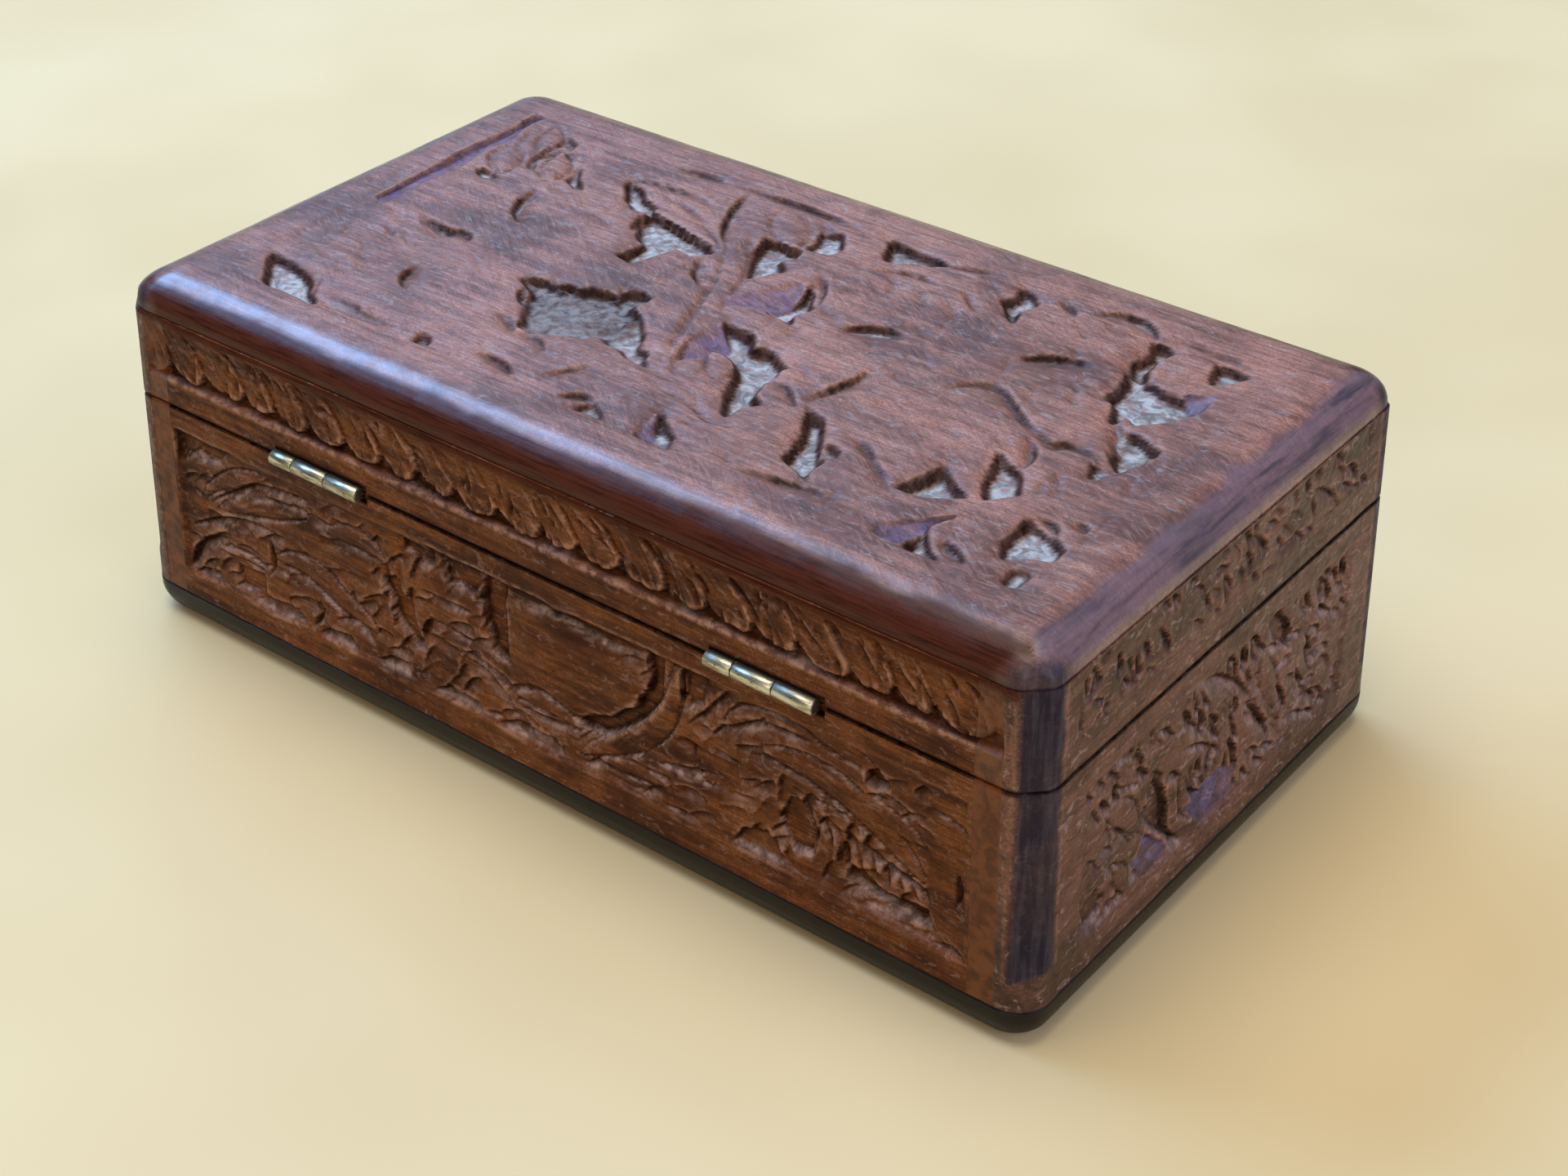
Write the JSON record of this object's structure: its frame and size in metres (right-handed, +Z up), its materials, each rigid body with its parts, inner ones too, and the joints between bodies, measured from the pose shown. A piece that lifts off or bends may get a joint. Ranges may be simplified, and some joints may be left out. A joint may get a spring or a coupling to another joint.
{
  "type": "keepsake box",
  "caption": "Rectangular carved wooden keepsake box, boarded and hollow, with a deep hollow lid on small butt hinges, leaf carving on top and sides.",
  "frame": {"origin": "centre of the flat underside of the base board, on the surface that the box stands on", "axes": "+X along the box's length, -Y out of the front, +Y out of the hinge side, +Z up"},
  "size_m": [0.178, 0.1018, 0.0635],
  "materials": {
    "carved_side_wood": "oiled, worn satin",
    "carved_top_wood": "oiled, worn satin",
    "dark_base_wood": "dark, worn satin",
    "dowel_wood": "plain",
    "worn_brass": "worn, silvery",
    "wire_steel": "dull"
  },
  "bodies": {
    "body": {"base_board": "dark_base_wood", "front_board": "carved_side_wood", "back_board": "carved_side_wood", "left_end_board": "carved_side_wood", "right_end_board": "carved_side_wood", "body_dowels": "dowel_wood", "base_nails": "wire_steel", "left_hinge_body_leaf": "worn_brass", "left_hinge_pin": "wire_steel", "left_hinge_body_screws": "worn_brass", "right_hinge_body_leaf": "worn_brass", "right_hinge_pin": "wire_steel", "right_hinge_body_screws": "worn_brass"},
    "lid": {"lid_top_board": "carved_top_wood", "lid_front_rail": "carved_side_wood", "lid_back_rail": "carved_side_wood", "lid_left_rail": "carved_side_wood", "lid_right_rail": "carved_side_wood", "lid_dowels": "dowel_wood", "left_hinge_lid_leaf": "worn_brass", "left_hinge_lid_screws": "worn_brass", "right_hinge_lid_leaf": "worn_brass", "right_hinge_lid_screws": "worn_brass"}
  },
  "joints": [
    {"name": "lid_hinge", "type": "hinge", "parent": "body", "child": "lid", "pos_m": [0, 0.0506, 0.04215], "axis": [-1, 0, 0], "range_deg": [0, 180]}
  ]
}
